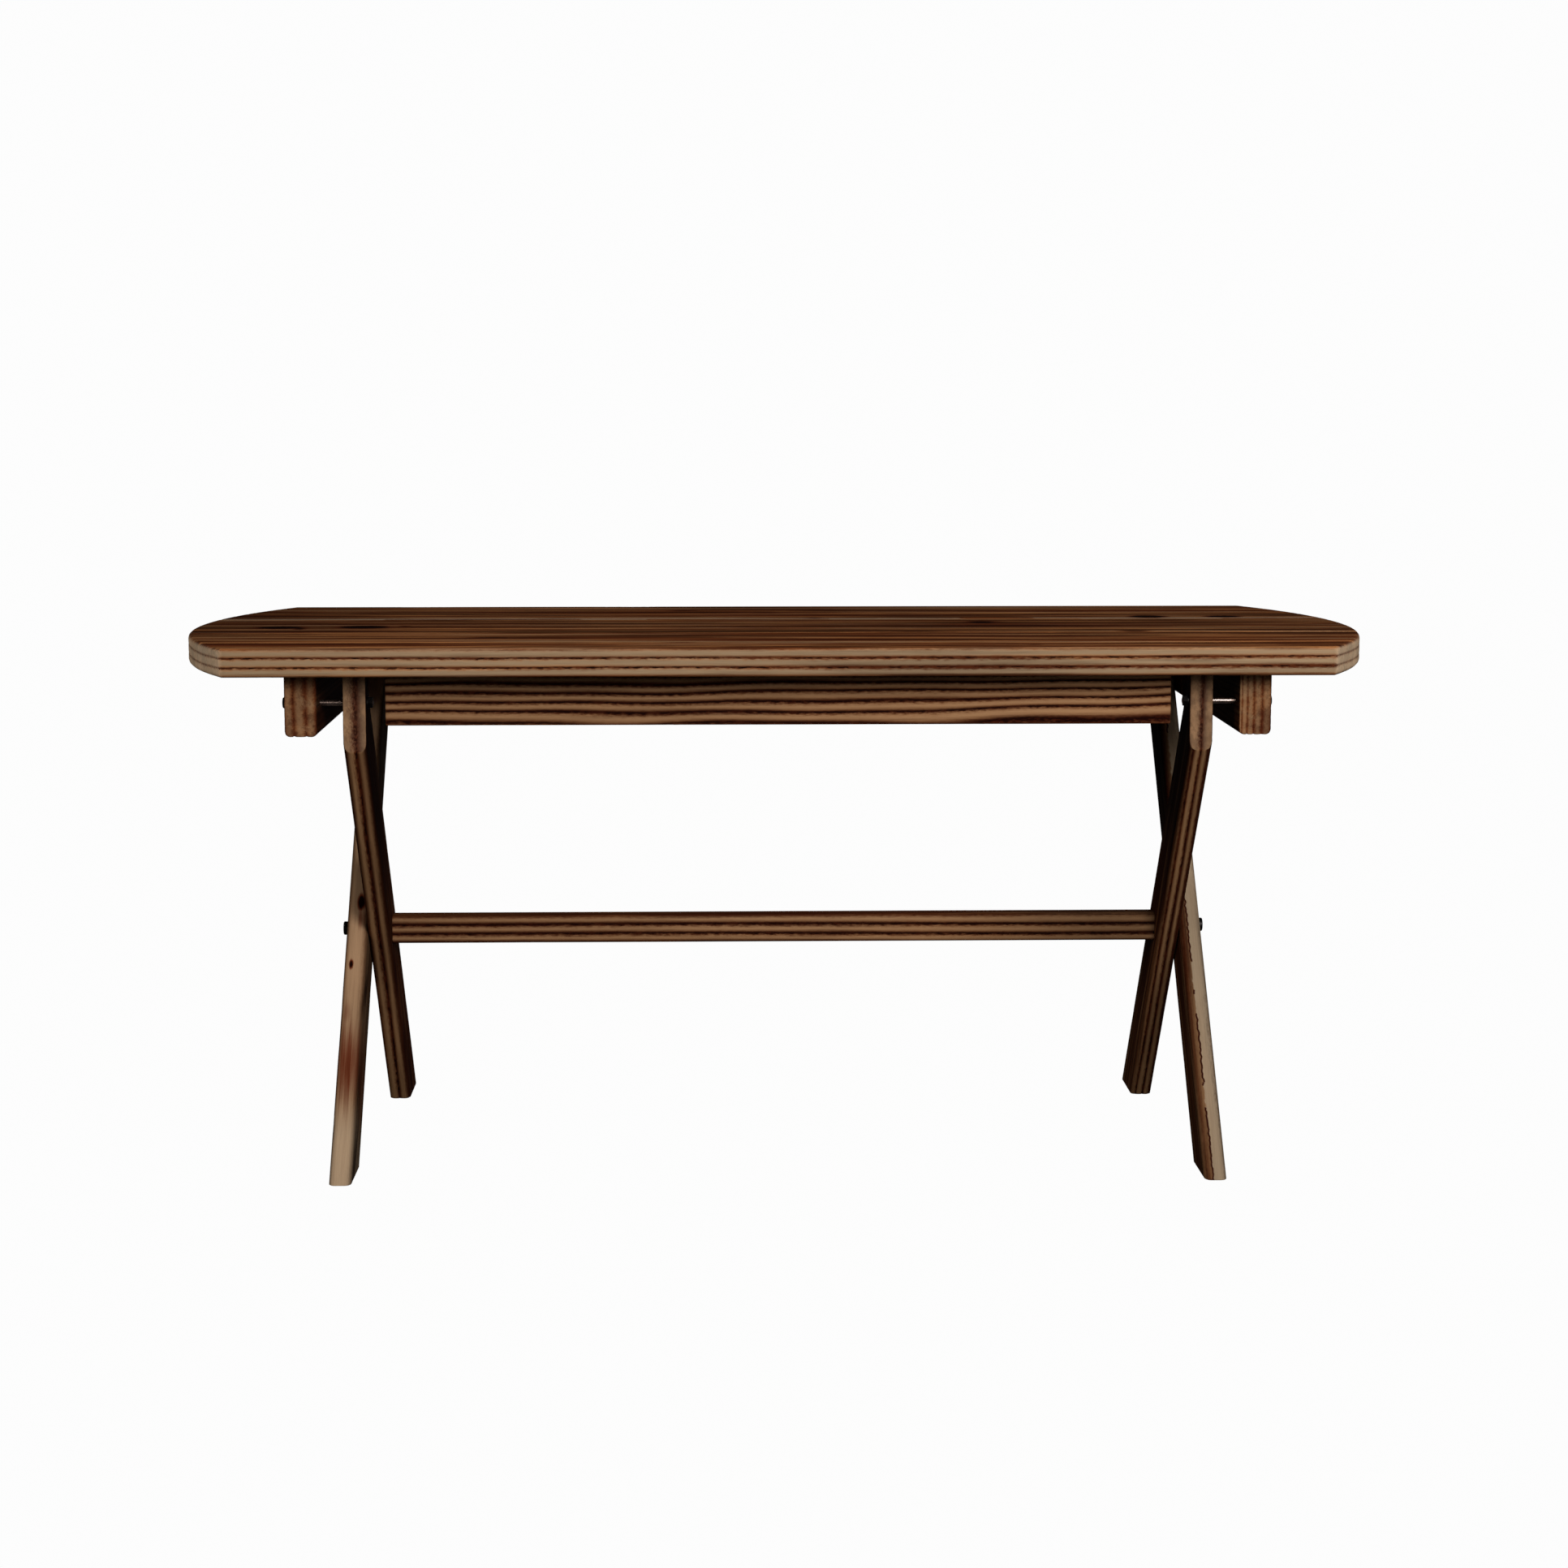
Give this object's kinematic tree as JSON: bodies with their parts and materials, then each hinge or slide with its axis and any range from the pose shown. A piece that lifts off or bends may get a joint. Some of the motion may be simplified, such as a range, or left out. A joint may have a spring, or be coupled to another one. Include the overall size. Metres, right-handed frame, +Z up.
{
  "type": "folding picnic table",
  "caption": "Wooden folding picnic table: a plank top with curved ends on crossed legs that swing up and lie flat beneath it.",
  "frame": {"origin": "on the floor, under the middle of the tabletop", "axes": "+Z up, +X along the table, -Y towards the front, where the inner legs are hinged"},
  "size_m": [1.609, 0.745, 0.72],
  "materials": {
    "top_wood": "dark brushed and oiled softwood with raised grain",
    "frame_wood": "dark brushed and oiled softwood with raised grain",
    "dowel_wood": "plain turned beech",
    "bright_steel": "bright turned steel",
    "black_steel": "black oxide, satin",
    "zinc_steel": "dull zinc plate"
  },
  "bodies": {
    "top": {"plank_front": "top_wood", "plank_middle": "top_wood", "plank_rear": "top_wood", "seam_dowels_front": "dowel_wood", "seam_dowels_rear": "dowel_wood", "front_rail": "frame_wood", "rail_screws": "zinc_steel", "batten_left": "frame_wood", "batten_screws_left": "zinc_steel", "pivot_bolt_left": "bright_steel", "pivot_washer_left": "black_steel", "pivot_nut_left": "black_steel", "batten_right": "frame_wood", "batten_screws_right": "zinc_steel", "pivot_bolt_right": "bright_steel", "pivot_washer_right": "black_steel", "pivot_nut_right": "black_steel"},
    "inner_legs": {"stretcher": "frame_wood", "inner_leg_left": "frame_wood", "stretcher_dowels_left": "dowel_wood", "crossing_bolt_left": "black_steel", "barrel_nut_left": "zinc_steel", "inner_leg_right": "frame_wood", "stretcher_dowels_right": "dowel_wood", "crossing_bolt_right": "black_steel", "barrel_nut_right": "zinc_steel"},
    "outer_leg_left": {"outer_leg_left": "frame_wood"},
    "outer_leg_right": {"outer_leg_right": "frame_wood"}
  },
  "joints": [
    {"name": "inner_leg_fold", "type": "hinge", "parent": "top", "child": "inner_legs", "pos_m": [0, -0.282, 0.642], "axis": [1, 0, 0], "range_deg": [0, 49.5]},
    {"name": "outer_leg_left_fold", "type": "hinge", "parent": "inner_legs", "child": "outer_leg_left", "pos_m": [-0.5836, 0, 0.293], "axis": [1, 0, 0], "range_deg": [-99, 0]},
    {"name": "outer_leg_right_fold", "type": "hinge", "parent": "inner_legs", "child": "outer_leg_right", "pos_m": [0.5836, 0, 0.293], "axis": [1, 0, 0], "range_deg": [-99, 0]}
  ],
  "couplings": [
    {"joint": "outer_leg_left_fold", "follows": "inner_leg_fold", "ratio": -2},
    {"joint": "outer_leg_right_fold", "follows": "inner_leg_fold", "ratio": -2}
  ]
}
